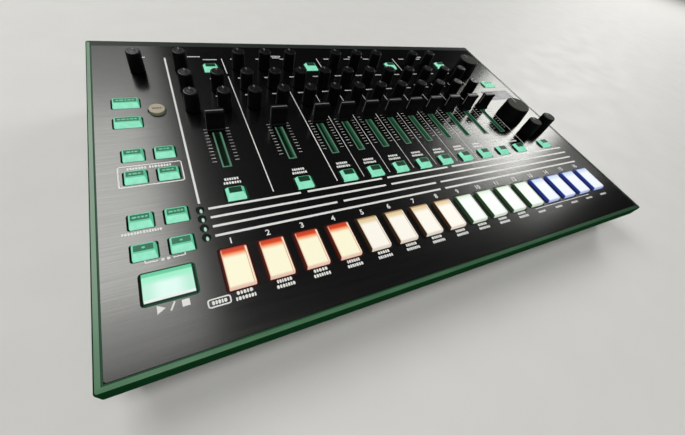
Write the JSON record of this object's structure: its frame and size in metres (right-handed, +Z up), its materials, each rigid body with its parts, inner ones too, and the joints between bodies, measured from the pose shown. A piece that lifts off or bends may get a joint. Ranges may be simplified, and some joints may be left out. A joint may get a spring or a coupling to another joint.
{
  "type": "drum machine",
  "caption": "Desktop drum machine: sloping black face with lit step pads, channel faders, rotary knobs and mint buttons, green rim, black tray, rear sockets.",
  "frame": {"origin": "on the table, under the middle of the machine's overall box", "axes": "+X to the player's right, +Y to the rear, +Z up"},
  "size_m": [0.4, 0.2598, 0.0649],
  "materials": {
    "face_plate": "black, brushed side to side, satin",
    "rim_green": "translucent green, satin",
    "tray_black": "fine moulded grain",
    "board": "solder mask",
    "pot_metal": "plated",
    "guide_green": "translucent green",
    "socket_black": "moulded",
    "foot_rubber": "matt",
    "screw_steel": "blackened",
    "button_mint": "translucent mint, lit from inside",
    "knob_black": "satin black, white pointer",
    "pad_red": "translucent, lit red from inside",
    "pad_amber": "translucent, lit amber from inside",
    "pad_green": "translucent, lit pale green from inside",
    "pad_blue": "translucent, lit pale blue from inside"
  },
  "bodies": {
    "chassis": {"top_panel": "face_plate", "edge_trim": "rim_green", "bottom_case": "tray_black", "rear_panel": "tray_black", "circuit_boards": "board", "potentiometers": "pot_metal", "light_guides": "guide_green", "phone_jacks": "socket_black", "rear_sockets": "socket_black", "rubber_feet": "foot_rubber", "case_fasteners": "screw_steel"},
    "start_stop_button": {"start_stop_button": "button_mint"},
    "select_buttons": {"select_buttons": "button_mint"},
    "function_buttons": {"function_buttons": "button_mint"},
    "pads_1_to_4": {"pads_1_to_4": "pad_red"},
    "pads_5_to_8": {"pads_5_to_8": "pad_amber"},
    "pads_9_to_12": {"pads_9_to_12": "pad_green"},
    "pads_13_to_16": {"pads_13_to_16": "pad_blue"},
    "fader_caps": {"fader_caps": "knob_black"},
    "power_button": {"power_button": "socket_black"},
    "volume_knob": {"volume_knob": "knob_black"},
    "accent_knob": {"accent_knob": "knob_black"},
    "reverb_level_knob": {"reverb_level_knob": "knob_black"},
    "reverb_time_knob": {"reverb_time_knob": "knob_black"},
    "reverb_gate_knob": {"reverb_gate_knob": "knob_black"},
    "delay_level_knob": {"delay_level_knob": "knob_black"},
    "delay_time_knob": {"delay_time_knob": "knob_black"},
    "delay_feedback_knob": {"delay_feedback_knob": "knob_black"},
    "input_level_knob": {"input_level_knob": "knob_black"},
    "input_duck_knob": {"input_duck_knob": "knob_black"},
    "bass_tune_knob": {"bass_tune_knob": "knob_black"},
    "bass_attack_knob": {"bass_attack_knob": "knob_black"},
    "bass_decay_knob": {"bass_decay_knob": "knob_black"},
    "bass_comp_knob": {"bass_comp_knob": "knob_black"},
    "snare_tune_knob": {"snare_tune_knob": "knob_black"},
    "snare_snap_knob": {"snare_snap_knob": "knob_black"},
    "snare_decay_knob": {"snare_decay_knob": "knob_black"},
    "snare_comp_knob": {"snare_comp_knob": "knob_black"},
    "low_tom_tune_knob": {"low_tom_tune_knob": "knob_black"},
    "mid_tom_tune_knob": {"mid_tom_tune_knob": "knob_black"},
    "high_tom_tune_knob": {"high_tom_tune_knob": "knob_black"},
    "rim_shot_tune_knob": {"rim_shot_tune_knob": "knob_black"},
    "hand_clap_tune_knob": {"hand_clap_tune_knob": "knob_black"},
    "closed_hat_tune_knob": {"closed_hat_tune_knob": "knob_black"},
    "open_hat_tune_knob": {"open_hat_tune_knob": "knob_black"},
    "crash_tune_knob": {"crash_tune_knob": "knob_black"},
    "ride_tune_knob": {"ride_tune_knob": "knob_black"},
    "low_tom_decay_knob": {"low_tom_decay_knob": "knob_black"},
    "mid_tom_decay_knob": {"mid_tom_decay_knob": "knob_black"},
    "high_tom_decay_knob": {"high_tom_decay_knob": "knob_black"},
    "rim_shot_decay_knob": {"rim_shot_decay_knob": "knob_black"},
    "hand_clap_decay_knob": {"hand_clap_decay_knob": "knob_black"},
    "closed_hat_decay_knob": {"closed_hat_decay_knob": "knob_black"},
    "open_hat_decay_knob": {"open_hat_decay_knob": "knob_black"},
    "crash_decay_knob": {"crash_decay_knob": "knob_black"},
    "ride_decay_knob": {"ride_decay_knob": "knob_black"},
    "effect_knob": {"effect_knob": "knob_black"},
    "tempo_knob": {"tempo_knob": "knob_black"},
    "shuffle_knob": {"shuffle_knob": "knob_black"},
    "fine_tempo_knob": {"fine_tempo_knob": "knob_black"}
  },
  "joints": [
    {"name": "start_stop_button_press", "type": "slide", "parent": "chassis", "child": "start_stop_button", "axis": [0, 0.0872, -0.9962], "range_m": [0, 0.0008], "stiffness_N_per_m": 300, "springref_m": -0.002},
    {"name": "select_buttons_press", "type": "slide", "parent": "chassis", "child": "select_buttons", "axis": [0, 0.0872, -0.9962], "range_m": [0, 0.0008], "stiffness_N_per_m": 300, "springref_m": -0.002},
    {"name": "function_buttons_press", "type": "slide", "parent": "chassis", "child": "function_buttons", "axis": [0, 0.0872, -0.9962], "range_m": [0, 0.0008], "stiffness_N_per_m": 300, "springref_m": -0.002},
    {"name": "pads_1_to_4_press", "type": "slide", "parent": "chassis", "child": "pads_1_to_4", "axis": [0, 0.0872, -0.9962], "range_m": [0, 0.0008], "stiffness_N_per_m": 300, "springref_m": -0.002},
    {"name": "pads_5_to_8_press", "type": "slide", "parent": "chassis", "child": "pads_5_to_8", "axis": [0, 0.0872, -0.9962], "range_m": [0, 0.0008], "stiffness_N_per_m": 300, "springref_m": -0.002},
    {"name": "pads_9_to_12_press", "type": "slide", "parent": "chassis", "child": "pads_9_to_12", "axis": [0, 0.0872, -0.9962], "range_m": [0, 0.0008], "stiffness_N_per_m": 300, "springref_m": -0.002},
    {"name": "pads_13_to_16_press", "type": "slide", "parent": "chassis", "child": "pads_13_to_16", "axis": [0, 0.0872, -0.9962], "range_m": [0, 0.0008], "stiffness_N_per_m": 300, "springref_m": -0.002},
    {"name": "fader_slide", "type": "slide", "parent": "chassis", "child": "fader_caps", "axis": [0, 0.9962, 0.0872], "range_m": [-0.031, 0]},
    {"name": "power_press", "type": "slide", "parent": "chassis", "child": "power_button", "axis": [0, -1, 0], "range_m": [0, 0.002], "stiffness_N_per_m": 150, "springref_m": -0.002},
    {"name": "effect_turn", "type": "hinge", "parent": "chassis", "child": "effect_knob", "pos_m": [0.152, 0.07582, 0.0485], "axis": [0, -0.0872, 0.9962], "range_deg": [-150, 150]},
    {"name": "tempo_turn", "type": "hinge", "parent": "chassis", "child": "tempo_knob", "pos_m": [0.153, -0.00288, 0.04161], "axis": [0, -0.0872, 0.9962], "range_deg": [-150, 150]},
    {"name": "shuffle_turn", "type": "hinge", "parent": "chassis", "child": "shuffle_knob", "pos_m": [0.153, -0.02729, 0.03948], "axis": [0, -0.0872, 0.9962], "range_deg": [-150, 150]},
    {"name": "fine_tempo_turn", "type": "hinge", "parent": "chassis", "child": "fine_tempo_knob", "pos_m": [0.177, -0.0233, 0.03983], "axis": [0, -0.0872, 0.9962], "range_deg": [-150, 150]},
    {"name": "volume_turn", "type": "hinge", "parent": "chassis", "child": "volume_knob", "pos_m": [-0.1672, 0.08727, 0.0495], "axis": [0, -0.0872, 0.9962], "range_deg": [-150, 150]},
    {"name": "accent_turn", "type": "hinge", "parent": "chassis", "child": "accent_knob", "pos_m": [-0.13675, 0.08827, 0.04959], "axis": [0, -0.0872, 0.9962], "range_deg": [-150, 150]},
    {"name": "reverb_level_turn", "type": "hinge", "parent": "chassis", "child": "reverb_level_knob", "pos_m": [-0.09265, 0.08827, 0.04959], "axis": [0, -0.0872, 0.9962], "range_deg": [-150, 150]},
    {"name": "reverb_time_turn", "type": "hinge", "parent": "chassis", "child": "reverb_time_knob", "pos_m": [-0.07055, 0.08827, 0.04959], "axis": [0, -0.0872, 0.9962], "range_deg": [-150, 150]},
    {"name": "reverb_gate_turn", "type": "hinge", "parent": "chassis", "child": "reverb_gate_knob", "pos_m": [-0.0485, 0.08827, 0.04959], "axis": [0, -0.0872, 0.9962], "range_deg": [-150, 150]},
    {"name": "delay_level_turn", "type": "hinge", "parent": "chassis", "child": "delay_level_knob", "pos_m": [-0.0043, 0.08827, 0.04959], "axis": [0, -0.0872, 0.9962], "range_deg": [-150, 150]},
    {"name": "delay_time_turn", "type": "hinge", "parent": "chassis", "child": "delay_time_knob", "pos_m": [0.0178, 0.08827, 0.04959], "axis": [0, -0.0872, 0.9962], "range_deg": [-150, 150]},
    {"name": "delay_feedback_turn", "type": "hinge", "parent": "chassis", "child": "delay_feedback_knob", "pos_m": [0.0399, 0.08827, 0.04959], "axis": [0, -0.0872, 0.9962], "range_deg": [-150, 150]},
    {"name": "input_level_turn", "type": "hinge", "parent": "chassis", "child": "input_level_knob", "pos_m": [0.0841, 0.08827, 0.04959], "axis": [0, -0.0872, 0.9962], "range_deg": [-150, 150]},
    {"name": "input_duck_turn", "type": "hinge", "parent": "chassis", "child": "input_duck_knob", "pos_m": [0.1062, 0.08827, 0.04959], "axis": [0, -0.0872, 0.9962], "range_deg": [-150, 150]},
    {"name": "bass_tune_turn", "type": "hinge", "parent": "chassis", "child": "bass_tune_knob", "pos_m": [-0.13675, 0.06038, 0.04715], "axis": [0, -0.0872, 0.9962], "range_deg": [-150, 150]},
    {"name": "bass_attack_turn", "type": "hinge", "parent": "chassis", "child": "bass_attack_knob", "pos_m": [-0.11465, 0.06038, 0.04715], "axis": [0, -0.0872, 0.9962], "range_deg": [-150, 150]},
    {"name": "bass_decay_turn", "type": "hinge", "parent": "chassis", "child": "bass_decay_knob", "pos_m": [-0.13675, 0.03786, 0.04518], "axis": [0, -0.0872, 0.9962], "range_deg": [-150, 150]},
    {"name": "bass_comp_turn", "type": "hinge", "parent": "chassis", "child": "bass_comp_knob", "pos_m": [-0.11465, 0.03786, 0.04518], "axis": [0, -0.0872, 0.9962], "range_deg": [-150, 150]},
    {"name": "snare_tune_turn", "type": "hinge", "parent": "chassis", "child": "snare_tune_knob", "pos_m": [-0.09265, 0.06038, 0.04715], "axis": [0, -0.0872, 0.9962], "range_deg": [-150, 150]},
    {"name": "snare_snap_turn", "type": "hinge", "parent": "chassis", "child": "snare_snap_knob", "pos_m": [-0.07055, 0.06038, 0.04715], "axis": [0, -0.0872, 0.9962], "range_deg": [-150, 150]},
    {"name": "snare_decay_turn", "type": "hinge", "parent": "chassis", "child": "snare_decay_knob", "pos_m": [-0.09265, 0.03786, 0.04518], "axis": [0, -0.0872, 0.9962], "range_deg": [-150, 150]},
    {"name": "snare_comp_turn", "type": "hinge", "parent": "chassis", "child": "snare_comp_knob", "pos_m": [-0.07055, 0.03786, 0.04518], "axis": [0, -0.0872, 0.9962], "range_deg": [-150, 150]},
    {"name": "low_tom_tune_turn", "type": "hinge", "parent": "chassis", "child": "low_tom_tune_knob", "pos_m": [-0.0485, 0.06038, 0.04715], "axis": [0, -0.0872, 0.9962], "range_deg": [-150, 150]},
    {"name": "mid_tom_tune_turn", "type": "hinge", "parent": "chassis", "child": "mid_tom_tune_knob", "pos_m": [-0.0264, 0.06038, 0.04715], "axis": [0, -0.0872, 0.9962], "range_deg": [-150, 150]},
    {"name": "high_tom_tune_turn", "type": "hinge", "parent": "chassis", "child": "high_tom_tune_knob", "pos_m": [-0.0043, 0.06038, 0.04715], "axis": [0, -0.0872, 0.9962], "range_deg": [-150, 150]},
    {"name": "rim_shot_tune_turn", "type": "hinge", "parent": "chassis", "child": "rim_shot_tune_knob", "pos_m": [0.0178, 0.06038, 0.04715], "axis": [0, -0.0872, 0.9962], "range_deg": [-150, 150]},
    {"name": "hand_clap_tune_turn", "type": "hinge", "parent": "chassis", "child": "hand_clap_tune_knob", "pos_m": [0.0399, 0.06038, 0.04715], "axis": [0, -0.0872, 0.9962], "range_deg": [-150, 150]},
    {"name": "closed_hat_tune_turn", "type": "hinge", "parent": "chassis", "child": "closed_hat_tune_knob", "pos_m": [0.062, 0.06038, 0.04715], "axis": [0, -0.0872, 0.9962], "range_deg": [-150, 150]},
    {"name": "open_hat_tune_turn", "type": "hinge", "parent": "chassis", "child": "open_hat_tune_knob", "pos_m": [0.0841, 0.06038, 0.04715], "axis": [0, -0.0872, 0.9962], "range_deg": [-150, 150]},
    {"name": "crash_tune_turn", "type": "hinge", "parent": "chassis", "child": "crash_tune_knob", "pos_m": [0.1062, 0.06038, 0.04715], "axis": [0, -0.0872, 0.9962], "range_deg": [-150, 150]},
    {"name": "ride_tune_turn", "type": "hinge", "parent": "chassis", "child": "ride_tune_knob", "pos_m": [0.1283, 0.06038, 0.04715], "axis": [0, -0.0872, 0.9962], "range_deg": [-150, 150]},
    {"name": "low_tom_decay_turn", "type": "hinge", "parent": "chassis", "child": "low_tom_decay_knob", "pos_m": [-0.0485, 0.03786, 0.04518], "axis": [0, -0.0872, 0.9962], "range_deg": [-150, 150]},
    {"name": "mid_tom_decay_turn", "type": "hinge", "parent": "chassis", "child": "mid_tom_decay_knob", "pos_m": [-0.0264, 0.03786, 0.04518], "axis": [0, -0.0872, 0.9962], "range_deg": [-150, 150]},
    {"name": "high_tom_decay_turn", "type": "hinge", "parent": "chassis", "child": "high_tom_decay_knob", "pos_m": [-0.0043, 0.03786, 0.04518], "axis": [0, -0.0872, 0.9962], "range_deg": [-150, 150]},
    {"name": "rim_shot_decay_turn", "type": "hinge", "parent": "chassis", "child": "rim_shot_decay_knob", "pos_m": [0.0178, 0.03786, 0.04518], "axis": [0, -0.0872, 0.9962], "range_deg": [-150, 150]},
    {"name": "hand_clap_decay_turn", "type": "hinge", "parent": "chassis", "child": "hand_clap_decay_knob", "pos_m": [0.0399, 0.03786, 0.04518], "axis": [0, -0.0872, 0.9962], "range_deg": [-150, 150]},
    {"name": "closed_hat_decay_turn", "type": "hinge", "parent": "chassis", "child": "closed_hat_decay_knob", "pos_m": [0.062, 0.03786, 0.04518], "axis": [0, -0.0872, 0.9962], "range_deg": [-150, 150]},
    {"name": "open_hat_decay_turn", "type": "hinge", "parent": "chassis", "child": "open_hat_decay_knob", "pos_m": [0.0841, 0.03786, 0.04518], "axis": [0, -0.0872, 0.9962], "range_deg": [-150, 150]},
    {"name": "crash_decay_turn", "type": "hinge", "parent": "chassis", "child": "crash_decay_knob", "pos_m": [0.1062, 0.03786, 0.04518], "axis": [0, -0.0872, 0.9962], "range_deg": [-150, 150]},
    {"name": "ride_decay_turn", "type": "hinge", "parent": "chassis", "child": "ride_decay_knob", "pos_m": [0.1283, 0.03786, 0.04518], "axis": [0, -0.0872, 0.9962], "range_deg": [-150, 150]}
  ]
}
